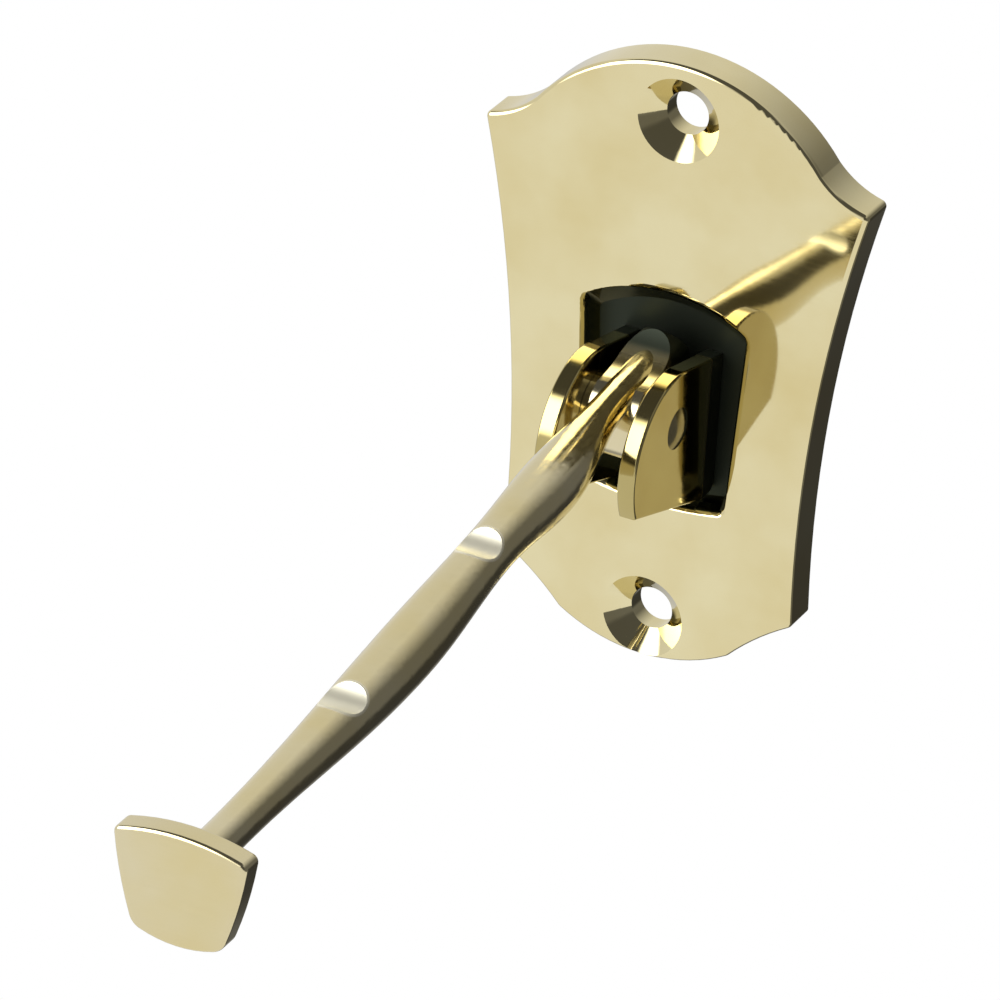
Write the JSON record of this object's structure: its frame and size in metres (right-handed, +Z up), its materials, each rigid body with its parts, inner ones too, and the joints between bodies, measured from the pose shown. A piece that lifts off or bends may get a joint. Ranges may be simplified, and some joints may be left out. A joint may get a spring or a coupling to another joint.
{
  "type": "folding wall hook",
  "caption": "Folding brass wall hook: shield-shaped backplate, hinge ears through its window, and a swelling arm with hanger notches and an end pad that folds up flat.",
  "frame": {"origin": "on the wall face at the back of the plate, midway between the two screw holes", "axes": "+Y into the wall, the arm stands out along -Y; +Z up; +X to the right as seen facing the hook's back, across the plate"},
  "size_m": [0.0424, 0.1019, 0.0665],
  "materials": {
    "plate_brass": "mirror-polished face and edges, cast back left as cast",
    "bracket_brass": "polished ears, unpolished flange",
    "pin_brass": "polished peened heads",
    "arm_brass": "mirror-polished with fine buffing marks"
  },
  "bodies": {
    "plate": {"backplate": "plate_brass", "hinge_bracket": "bracket_brass", "pivot_pin": "pin_brass"},
    "arm": {"arm": "arm_brass"}
  },
  "joints": [
    {"name": "arm_fold", "type": "hinge", "parent": "plate", "child": "arm", "pos_m": [0, -0.0113, -0.0016], "axis": [-1, 0, 0], "range_deg": [0, 98]}
  ]
}
